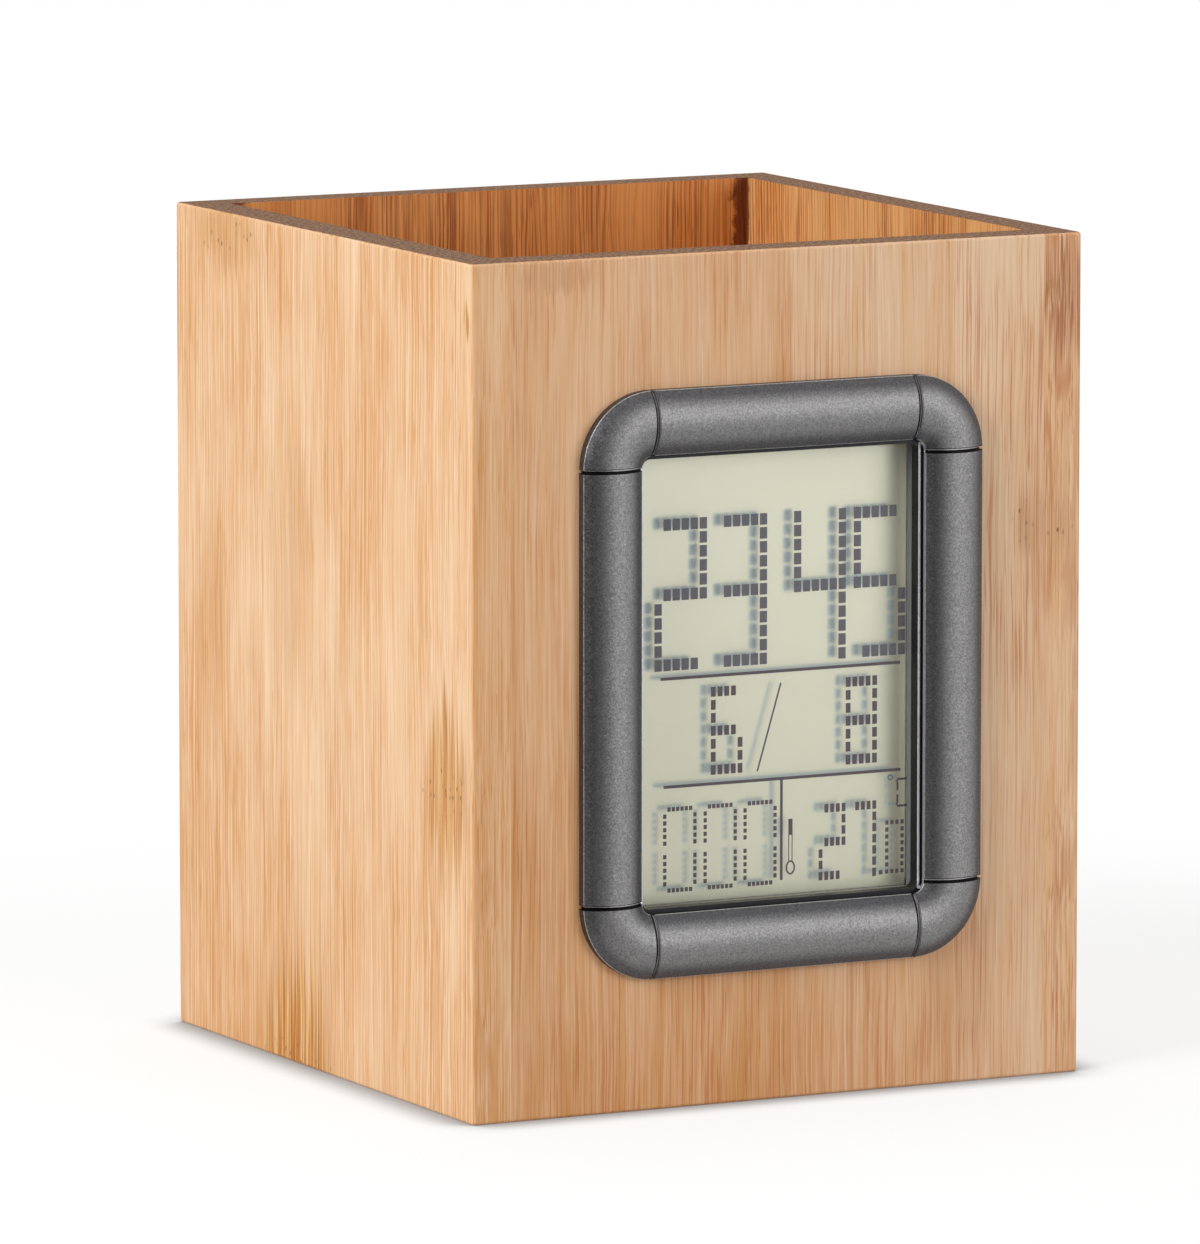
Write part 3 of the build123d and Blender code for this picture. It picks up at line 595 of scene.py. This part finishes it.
def bezelMaterial():
    material, tree, spot = newMaterial("metallicPaint")  # flakes give it a grainy, broad highlight
    look = bezelPaint
    axes = addNode(tree, "SeparateXYZ", {0: spot}, out=None)
    cells = addNode(tree, "TexVoronoi", {"Vector": spot, "Scale": 1 / look["flake"]}, out=None)
    tilt = addNode(tree, "VectorMath", {0: cells.outputs["Color"], 1: (0.5, 0.5, 0.5)},
                   operation="SUBTRACT")
    pitch = addNode(tree, "SeparateXYZ", {0: cells.outputs["Color"]}, out="Y")
    proud = addNode(tree, "MapRange", {"Value": axes.outputs["Y"], 1: look["foot"],
                                       2: look["top"]})
    paintedShadeFlank, crown = hexColour(look["paintedShadeFlank"]), hexColour(look["crown"])
    before, at, after = look["paintedArrisHighlightAt"]
    # the paint's tone by height on the dome: painted shade on the flanks, a painted highlight along
    # the arris
    paint = addNode(tree, "ValToRGB", {0: proud}, stops=[
        (0.0, paintedShadeFlank), (1.0, crown), (before, paintedShadeFlank), (at, hexColour(look["paintedArrisHighlight"])), (after, paintedShadeFlank),
        (look["paintedShadeFlankTo"], paintedShadeFlank), (look["crownFrom"], crown)])
    tone = addNode(tree, "MapRange", {"Value": pitch, 3: 1 - look["flakeTone"],
                                      4: 1 + look["flakeTone"]})
    paint = addNode(tree, "Mix", {0: 1.0, 6: paint, 7: tone}, out=2, data_type="RGBA",
                    blend_type="MULTIPLY")

    # Grooves at the elbows: painted shade, black on one side, with a painted highlight line and a
    # dark one beside it
    upright = addNode(tree, "Math", {0: axes.outputs["Z"], 1: look["centreHeight"]},
                      operation="SUBTRACT")
    sideX, offX = offLine(tree, axes.outputs["X"], look["grooveX"])
    sideZ, offZ = offLine(tree, upright, look["grooveZ"])
    groove, shine = hexColour(look["groove"]), hexColour(look["grooveShine"])
    for off, beyond, edge in ((offX, sideZ, "openingZ"), (offZ, sideX, "openingX")):
        share = addNode(tree, "MapRange", {"Value": off, 1: -0.5, 2: 0.5})
        lines = addNode(tree, "ValToRGB", {0: share}, stops=[
            (0.2, groove), (0.8, groove), (0.54, groove), (0.58, shine), (0.71, shine),
            (0.74, groove)])
        inside = addNode(tree, "Math", {0: off}, operation="ABSOLUTE")
        inside = addNode(tree, "MapRange", {"Value": inside, 1: look["grooveHalf"][1],
                                            2: look["grooveHalf"][0]})
        outside = addNode(tree, "Math", {0: beyond, 1: look[edge]}, operation="GREATER_THAN")
        share = addNode(tree, "Math", {0: inside, 1: outside}, operation="MULTIPLY")
        paint = layered(tree, paint, (share, lines))

    # The lip round the opening has two painted highlights with painted shade between them, and the
    # wall inside it carries painted shade, near black and not metallic
    outX = addNode(tree, "Math", {0: sideX, 1: look["openingX"]}, operation="SUBTRACT")
    outZ = addNode(tree, "Math", {0: sideZ, 1: look["openingZ"]}, operation="SUBTRACT")
    out = addNode(tree, "Math", {0: outX, 1: outZ}, operation="MAXIMUM")
    low = addNode(tree, "Math", {0: axes.outputs["Y"], 1: look["lipFrom"]},
                  operation="GREATER_THAN")
    near = addNode(tree, "Math", {0: out, 1: look["lipWidth"]}, operation="LESS_THAN")
    onLip = addNode(tree, "Math", {0: low, 1: near}, operation="MULTIPLY")
    lipShade, glint = hexColour(look["lipShade"]), hexColour(look["lipHighlight"])
    lines = addNode(tree, "ValToRGB", {0: out}, stops=[
        (0.0, glint), (0.6, lipShade), (0.26, glint), (0.34, lipShade)])
    # painted highlight on the side of the lip
    side = addNode(tree, "MapRange", {"Value": axes.outputs["Y"], 1: look["lipEdge"][0],
                                      2: look["lipEdge"][1]})
    lines = layered(tree, lines, (side, glint))
    beside = addNode(tree, "Math", {0: outX, 1: outZ}, operation="GREATER_THAN")
    lines = layered(tree, lipShade, (beside, lines))
    paint = layered(tree, paint, (onLip, lines))
    wall = addNode(tree, "Math", {0: out, 1: 0.0}, operation="LESS_THAN")
    behind = addNode(tree, "Math", {0: axes.outputs["Y"], 1: look["wallFrom"]},
                     operation="GREATER_THAN")
    shadedWall = addNode(tree, "Math", {0: wall, 1: behind}, operation="MAXIMUM")
    colour = layered(tree, paint, (shadedWall, hexColour(look["shaded"])))
    metal = addNode(tree, "MapRange", {"Value": shadedWall, 3: look["metallic"], 4: 0.0})
    facing = addNode(tree, "NewGeometry", out="Normal")
    normal = addNode(tree, "VectorMath", {0: tilt, 1: (look["flakeTilt"],) * 3, 2: facing},
                     operation="MULTIPLY_ADD")
    normal = addNode(tree, "VectorMath", {0: normal}, operation="NORMALIZE")
    shader = addNode(tree, "BsdfPrincipled", {
        "Base Color": colour, "Metallic": metal, "Roughness": look["roughness"], "Normal": normal})
    return finishMaterial(material, tree, shader)


# Display: clear cell over a grey-green reflecting film
display = {
    "film": "D4D4BE",         # painted light: lighter at the top of the display
    "filmPaintedShade": "C9C9B3",    # painted shade: darker at its bottom
    "filmFrom": 24.0,
    "filmTo": 76.0,
    "filmMetallic": 0.35,
    "filmRoughness": (0.3, 0.4),
    "bigSegment": "6A686E",
    "smallSegment": "5E5459",
    # painted shadow of the segments on the film
    "segmentShadow": "A9B7B8",
    "sideEdgeShade": "808182",     # the cell's edges: painted shade at the sides, a painted reflection of the film in the others
    "endEdgeReflection": "B9BAA6",
    "edgeShadow": (18.85, 19.65),   # from the middle to where the film darkens at its sides
    "edgeShade": "7E807B",
}
# Clear sheets: material, IOR, roughness and whether the edges carry painted shade and a painted
# reflection. The IORs are low, because sheets that are bonded to each other mirror little.
clearSheets = {
    "front_polariser": ("polariserFilm", 1.3, 0.2, False),    # matt film: a faint, blurred sheen
    "lcd_front_glass": ("floatGlass", 1.08, 0.03, True),      # float glass: clear, sharp and weak
    "lcd_rear_glass": ("rearGlass", 1.08, 0.03, True),
}


# A thin clear sheet: straight through, with the weak mirror of its outer face.
def clearMaterial(name, index, roughness, edged):
    material, tree, spot = newMaterial(name)
    through = addNode(tree, "BsdfTransparent", {"Color": grey(1.0)})
    haze = addNode(tree, "TexNoise", {"Vector": spot, "Scale": 4.0})
    gloss = addNode(tree, "MapRange", {"Value": haze, 3: roughness, 4: roughness * 1.3})
    mirror = addNode(tree, "BsdfGlossy", {"Color": grey(1.0), "Roughness": gloss})
    weak = addNode(tree, "Fresnel", {"IOR": index})
    behind = addNode(tree, "NewGeometry", out="Backfacing")  # no mirror from within
    weak = addNode(tree, "Mix", {0: behind, 2: weak, 3: 0.0})
    shader = addNode(tree, "MixShader", {0: weak, 1: through, 2: mirror})
    # edges painted opaque: painted shade at the sides, a painted reflection of the film at top and
    # bottom
    if edged:
        facing = addNode(tree, "NewGeometry", out="True Normal")
        axes = addNode(tree, "SeparateXYZ", {0: facing}, out=None)
        masks = []
        for axis in "XZ":
            size = addNode(tree, "Math", {0: axes.outputs[axis]}, operation="ABSOLUTE")
            masks.append(addNode(tree, "Math", {0: size, 1: 0.7}, operation="GREATER_THAN"))
        colour = layered(tree, hexColour(display["endEdgeReflection"]),
                         (masks[0], hexColour(display["sideEdgeShade"])))
        edgeShadeAndReflection = addNode(tree, "BsdfDiffuse", {"Color": colour})
        either = addNode(tree, "Math", {0: masks[0], 1: masks[1]}, operation="MAXIMUM")
        shader = addNode(tree, "MixShader", {0: either, 1: shader, 2: edgeShadeAndReflection})
    return finishMaterial(material, tree, shader)


# Metallised film with a fine matt grain: a grey-green ground, with the segments' painted shadow on
# it.
def reflectorMaterial():
    material, tree, spot = newMaterial("reflectingFilm")
    # painted light at the film's top and painted shade at its bottom
    height = addNode(tree, "SeparateXYZ", {0: spot}, out="Z")
    height = addNode(tree, "MapRange", {"Value": height, 1: display["filmFrom"],
                                        2: display["filmTo"]})
    colour = layered(tree, hexColour(display["filmPaintedShade"]), (height, hexColour(display["film"])))
    image = addNode(tree, "Attribute", out="Fac", attribute_name="segmentShadowImage")
    colour = layered(tree, colour, (image, hexColour(display["segmentShadow"])))
    across = addNode(tree, "SeparateXYZ", {0: spot}, out="X")
    across = addNode(tree, "Math", {0: across}, operation="ABSOLUTE")
    start, end = display["edgeShadow"]
    shade = addNode(tree, "MapRange", {"Value": across, 1: start, 2: end, 4: 0.85},
                    interpolation_type="SMOOTHSTEP")
    colour = layered(tree, colour, (shade, hexColour(display["edgeShade"])))
    haze = addNode(tree, "TexNoise", {"Vector": spot, "Scale": 6.0})
    smooth, dull = display["filmRoughness"]
    shine = addNode(tree, "MapRange", {"Value": haze, 3: smooth, 4: dull})
    shader = addNode(tree, "BsdfPrincipled", {
        "Base Color": colour, "Metallic": display["filmMetallic"], "Roughness": shine})
    return finishMaterial(material, tree, shader)


# Places on the display are read on the front face, in mm from its lower left corner, as the
# photograph shows them. The layer lies deeper, so it is shifted against that parallax.
segmentLayer = {
    "depth": 2.38,            # of the segments, behind the panel's face
    "imageDepth": 3.5,        # and of the film
    "parallaxX": 0.51,        # how far a place moves for each mm of depth
    "parallaxZ": -0.154,
    "thickness": 0.03,
    "ringSteps": 24,
    "segmentShadowShift": (-0.85, 0.1),
    "segmentShadowSpread": 0.4,       # how soft the painted shadow's edges are
    "imageStep": 0.2,         # of the grid that holds it
    "filmGap": 0.02,          # between the rear glass and the film
}
bigGlyphs = {
    "2": (".#####", ".....#", ".....#", ".....#", ".....#", ".#####",
          "#.....", "#.....", "#.....", "#.....", "#####."),
    "3": (".#####", ".....#", ".....#", ".....#", ".....#", ".#####",
          ".....#", ".....#", ".....#", ".....#", ".#####"),
    "4": ("#....#", "#....#", "#....#", "#....#", "#....#", "######",
          ".....#", ".....#", ".....#", ".....#", ".....#"),
    "5": ("#####.", "#.....", "#.....", "#.....", "#.....", "#####.",
          ".....#", ".....#", ".....#", ".....#", ".#####"),
}
dateGlyphs = {
    "6": ("####.", "#....", "#....", "####.", "#...#", "#...#", "#####"),
    "8": ("#####", "#...#", "#...#", "#####", "#...#", "#...#", "#####"),
}
degreeGlyphs = {
    "2": (".####", "....#", "....#", ".####", "#....", "#....", "####."),
    "7": ("####", "...#", "...#", "...#", "...#", "...#", "...#"),
    "0": ("####", "#..#", "#..#", "#..#", "#..#", "#..#", "#..#", "####"),
}
zeroGlyph = (".######.", "#......#", "#......#", "#......#", "#......#", "#......#", "........",
             "#......#", "#......#", "#......#", "#......#", "#......#", ".######.")
# Each line of digits: its glyphs, the size and pitch of a dot, and where each digit starts
digitLines = {
    "time": {"glyphs": bigGlyphs, "dot": (0.95, 1.35), "pitch": (1.18, 1.64), "top": 68.5,
             "digits": (("2", 23.6), ("3", 31.5), ("4", 41.9), ("5", 49.8))},
    "date": {"glyphs": dateGlyphs, "dot": (0.62, 1.15), "pitch": (0.88, 1.53), "top": 48.6,
             "digits": (("6", 31.0), ("8", 48.8))},
    "degrees": {"glyphs": degreeGlyphs, "dot": (0.5, 1.0), "pitch": (0.76, 1.33), "top": 33.85,
                "digits": (("2", 45.25), ("7", 50.1))},
    "tenths": {"glyphs": degreeGlyphs, "dot": (0.42, 0.5), "pitch": (0.68, 0.83), "top": 31.6,
               "digits": (("0", 54.1),)},
    "count": {"glyphs": {"0": zeroGlyph}, "dot": (0.42, 0.5), "pitch": (0.565, 0.795), "top": 35.15,
              "digits": (("0", 24.75), ("0", 30.05), ("0", 35.3))},
}
# Plain strokes: centre across, centre height, width, height, turn in degrees
strokes = (
    (40.2, 50.5, 31.6, 0.36, 0.0),
    (40.45, 37.8, 31.3, 0.36, 0.0),
    (40.3, 31.75, 0.34, 11.9, 0.0),
    (38.65, 43.97, 0.2, 10.7, -16.8),
    (41.5, 32.0, 0.55, 1.9, 0.0),
    (41.28, 29.5, 0.12, 3.2, 0.0),
    (41.72, 29.5, 0.12, 3.2, 0.0),
    (53.5, 25.75, 0.5, 0.5, 0.0),
    (56.35, 36.67, 1.3, 0.26, 0.0),
    (55.64, 36.52, 0.36, 0.18, 45.0),
    (55.7, 35.87, 0.24, 1.05, 0.0),
    (55.7, 34.32, 0.24, 1.05, 0.0),
    (55.64, 33.66, 0.36, 0.18, -45.0),
    (56.35, 33.5, 1.3, 0.26, 0.0),
)
# Rings: centre across, centre height, outer half width, outer half height, line width
rings = (
    (41.5, 27.2, 0.62, 0.85, 0.2),
    (54.74, 36.95, 0.34, 0.34, 0.11),
)


# A place read on the front face, as a point in the layer at a depth.
def layerPlace(across, height, depth):
    x = across - 40.0 + segmentLayer["parallaxX"] * segmentLayer["depth"]
    z = height + segmentLayer["parallaxZ"] * segmentLayer["depth"]
    return Vector(mm(x, -40.0 + depth, z))


# Every dot of every digit, as strokes with no turn, and whether it is a big one.
def digitDots():
    dots = []
    for name, line in digitLines.items():
        for digit, start in line["digits"]:
            for row, cells in enumerate(line["glyphs"][digit]):
                for column, cell in enumerate(cells):
                    if cell == "#":
                        x = start + line["dot"][0] / 2 + column * line["pitch"][0]
                        z = line["top"] - row * line["pitch"][1]
                        dots.append((x, z, *line["dot"], 0.0, name == "time"))
    return dots


# One stroke of the display, as a thin plate.
def addStroke(bm, stroke):
    x, z, width, height, turn = stroke
    spot = layerPlace(x, z, segmentLayer["depth"])
    size = Vector(mm(width, segmentLayer["thickness"], height))
    matrix = Matrix.Translation(spot) @ Matrix.Rotation(math.radians(-turn), 4, "Y")
    bmesh.ops.create_cube(bm, size=1.0, matrix=matrix @ Matrix.Diagonal((*size, 1)))


# A thin ring in the display's plane.
def addRing(bm, ring):
    x, z, halfWidth, halfHeight, line = ring
    spot = layerPlace(x, z, segmentLayer["depth"] - segmentLayer["thickness"] / 2)
    count = segmentLayer["ringSteps"]
    loops = []
    for inset in (0.0, line):
        loop = []
        for step in range(count):
            angle = 2 * math.pi * step / count
            across, up = mm(halfWidth - inset, halfHeight - inset)
            out = Vector((across * math.cos(angle), 0, up * math.sin(angle)))
            loop.append(bm.verts.new(spot + out))
        edges = [bm.edges.new((loop[i], loop[(i + 1) % count])) for i in range(count)]
        loops.append(edges)
    front = bmesh.ops.bridge_loops(bm, edges=loops[0] + loops[1])["faces"]
    grown = bmesh.ops.extrude_face_region(bm, geom=front)["geom"]
    back = [part for part in grown if isinstance(part, bmesh.types.BMVert)]
    bmesh.ops.translate(bm, verts=back, vec=(0, mm(segmentLayer["thickness"]), 0))


# Liquid crystal in its dark state: a soft grey-violet, a little uneven.
def inkMaterial(name, code):
    material, tree, spot = newMaterial(name)
    drift = addNode(tree, "TexNoise", {"Vector": spot, "Scale": 1.6})
    level = addNode(tree, "MapRange", {"Value": drift, 3: 0.9, 4: 1.1})
    colour = addNode(tree, "Mix", {0: 1.0, 6: hexColour(code), 7: level}, out=2,
                     data_type="RGBA", blend_type="MULTIPLY")
    shader = addNode(tree, "BsdfPrincipled", {
        "Base Color": colour, "Roughness": 0.6, "Specular IOR Level": 0.2})
    return finishMaterial(material, tree, shader)


# Makes a bmesh a piece of the object, riding on a body.
def linkPiece(name, bm, material, body):
    mesh = bpy.data.meshes.new(name)
    bm.to_mesh(mesh)
    bm.free()
    mesh.materials.append(material)
    piece = bpy.data.objects.new(name, mesh)
    bpy.context.scene.collection.objects.link(piece)
    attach(piece, body)
    return piece


# Digits, rules and symbols in the segment layer.
def makeDisplay():
    big = bmesh.new()
    small = bmesh.new()
    for *stroke, isBig in digitDots():
        addStroke(big if isBig else small, stroke)
    for stroke in strokes:
        addStroke(small, stroke)
    for ring in rings:
        addRing(small, ring)
    bmesh.ops.recalc_face_normals(small, faces=small.faces)
    bigInk = inkMaterial("darkCrystal", display["bigSegment"])
    smallInk = inkMaterial("darkCrystalFine", display["smallSegment"])
    for name, bm, ink in (("time_segments", big, bigInk), ("small_segments", small, smallInk)):
        piece = linkPiece(name, bm, ink, "clock")
        piece.visible_shadow = False


# How much of a stroke's painted shadow lies at a place: 1 inside, fading over its spread.
def softStroke(stroke, x, z):
    middleX, middleZ, width, height, turn = stroke
    spread = segmentLayer["segmentShadowSpread"]
    across, up = x - middleX, z - middleZ
    cosine, sine = math.cos(math.radians(turn)), math.sin(math.radians(turn))
    across, up = across * cosine + up * sine, up * cosine - across * sine
    soft = 1.0
    for off, size in ((across, width), (up, height)):
        edge = (size / 2 - abs(off)) / spread + 0.5
        soft *= min(max(edge, 0.0), 1.0)
    return soft


# The reflecting film behind the rear glass: a thin plate whose front holds the segments' painted
# shadow.
def makeReflector():
    low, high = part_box("rear_polariser")
    step = mm(segmentLayer["imageStep"])
    wide, tall = high[0] - low[0], high[2] - low[2]
    columns, rows = round(wide / step), round(tall / step)
    front = low[1] + mm(segmentLayer["filmGap"])
    middle = Vector(((low[0] + high[0]) / 2, front, (low[2] + high[2]) / 2))
    upright = Matrix.Translation(middle) @ Matrix.Rotation(math.radians(90), 4, "X")
    bm = bmesh.new()
    bmesh.ops.create_grid(bm, x_segments=columns, y_segments=rows, size=0.5,
                          matrix=upright @ Matrix.Diagonal((wide, tall, 1, 1)))
    layer = bm.verts.layers.float.new("segmentShadowImage")
    stepX, stepZ = wide / columns, tall / rows
    grid = {(round((v.co.x - low[0]) / stepX), round((v.co.z - low[2]) / stepZ)): v
            for v in bm.verts}
    shiftX, shiftZ = segmentLayer["segmentShadowShift"]
    for stroke in [dot[:5] for dot in digitDots()] + list(strokes):
        moved = (stroke[0] + shiftX, stroke[1] + shiftZ, *stroke[2:])
        centre = layerPlace(moved[0], moved[1], segmentLayer["imageDepth"])
        turn = math.radians(moved[4])
        width, height = moved[2] + 1, moved[3] + 1    # with room for the soft edge
        reachX = mm(abs(width * math.cos(turn)) + abs(height * math.sin(turn))) / 2
        reachZ = mm(abs(width * math.sin(turn)) + abs(height * math.cos(turn))) / 2
        left, right = [int((centre.x + reach - low[0]) / stepX) for reach in (-reachX, reachX)]
        bottom, top = [int((centre.z + reach - low[2]) / stepZ) for reach in (-reachZ, reachZ)]
        for column in range(left, right + 2):
            for row in range(bottom, top + 2):
                vert = grid.get((column, row))
                if vert:
                    x = (vert.co.x - centre.x) * 1000 + moved[0]
                    z = (vert.co.z - centre.z) * 1000 + moved[1]
                    vert[layer] = 1 - (1 - vert[layer]) * (1 - softStroke(moved, x, z))
    rim = [edge for edge in bm.edges if edge.is_boundary]
    grown = bmesh.ops.extrude_edge_only(bm, edges=rim)["geom"]
    back = [part for part in grown if isinstance(part, bmesh.types.BMVert)]
    bmesh.ops.translate(bm, verts=back, vec=(0, high[1] - front, 0))
    bmesh.ops.contextual_create(bm, geom=[edge for edge in bm.edges if edge.is_boundary])
    bmesh.ops.recalc_face_normals(bm, faces=bm.faces)
    material = bpy.data.materials["reflectingFilm"]
    film = linkPiece("reflecting_film", bm, material, "clock")
    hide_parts("rear_polariser")


# Finishes of the pieces inside and behind, by slot: colour, second tone, metallic, roughness and
# the size of the grain
plainFinishes = {
    "inner_plastic": ("D9D8D2", "C4C2BA", 0.0, 0.5, 0.6),        # moulded ABS: white, half matt
    "connector_rubber": ("B9B4AD", "3A3836", 0.0, 0.8, 0.5),     # striped silicone: dull
    "board_laminate": ("1E5A34", "164527", 0.0, 0.35, 1.5),      # solder mask: green, half gloss
    "black_resin": ("1B1B1C", "242426", 0.0, 0.3, 0.5),          # cast epoxy: black and shiny
    "bright_metal": ("C9C8C4", "A9A8A4", 1.0, 0.25, 0.3),        # drawn steel: bright
    "capacitor_ceramic": ("B08A5C", "8E6C46", 0.0, 0.5, 0.4),    # fired ceramic: tan
    "screw_steel": ("BDBDBC", "929292", 1.0, 0.3, 0.2),          # zinc-plated steel: soft shine
    "contact_metal": ("CFC9B8", "B0AA98", 1.0, 0.28, 0.3),       # nickel-plated sheet: warm shine
    "case_plastic": ("2A2A2C", "343436", 0.0, 0.55, 0.25),       # spark-eroded ABS: black, matt
    "button_plastic": ("6A6A6D", "7A7A7D", 0.0, 0.45, 0.3),      # moulded ABS: grey, satin
}


# A moulded or rolled finish: two close tones, uneven gloss and a fine grain.
def plainMaterial(name, tone, second, metallic, roughness, size):
    material, tree, spot = newMaterial(name)
    grain = addNode(tree, "TexNoise", {"Vector": spot, "Scale": 1 / size, "Detail": 2.0})
    level = addNode(tree, "MapRange", {"Value": grain, 1: 0.35, 2: 0.65})
    colour = layered(tree, hexColour(tone), (level, hexColour(second)))
    rough = addNode(tree, "MapRange", {"Value": grain, 3: roughness - 0.08,
                                       4: roughness + 0.08})
    normal = addNode(tree, "Bump", {"Height": grain, "Strength": 0.4,
                                    "Distance": mm(0.02)})
    shader = addNode(tree, "BsdfPrincipled", {
        "Base Color": colour, "Metallic": metallic, "Roughness": rough, "Normal": normal})
    return finishMaterial(material, tree, shader)


# Sanded arrises on a board: its CAD faces are joined first, so that the bevel finds the edges.
def easeEdges(board):
    weld = board.modifiers.new("joinedFaces", "WELD")
    weld.merge_threshold = mm(0.01)
    bevel = board.modifiers.new("sandedEdges", "BEVEL")
    bevel.width = mm(bamboo["sandedEdge"])
    bevel.segments = 2
    bevel.limit_method = "ANGLE"
    bevel.angle_limit = math.radians(40)
    normals = board.modifiers.new("flatFaces", "WEIGHTED_NORMAL")
    normals.weight = 100


# Gives every CAD node its finish.
def dressNodes():
    nodes = frame["nodes"]
    slots = {part["node"]: part["material_slot"] for part in frame["record"]["subparts"]}
    plain = {name: plainMaterial(name, *look) for name, look in plainFinishes.items()}
    special = {name: clearMaterial(*sheet) for name, sheet in clearSheets.items()}
    special.update({name: bambooMaterial(name, panel) for name, panel in panels.items()})
    special["clock_bezel"] = bezelMaterial()
    special["rear_polariser"] = reflectorMaterial()
    for name, node in nodes.items():
        material = special.get(name) or plain[slots[name]]
        node.data.materials.clear()
        node.data.materials.append(material)
    for name in panels:
        easeEdges(nodes[name])
    for name in clearSheets:
        for ray in ("shadow", "diffuse", "glossy"):  # light passes a clear sheet unhindered
            setattr(nodes[name], "visible_" + ray, False)


bpy.context.scene.view_settings.view_transform = "Standard"
makeCamera()
makeLamps()
makeWorld()
makeFloor()
makeCard()
print("studio: camera, lamps, world, floor and dark card")
dressNodes()
print("finishes: every CAD piece")
makeDisplay()
makeReflector()
print("display: digits, rules and their image in the film")
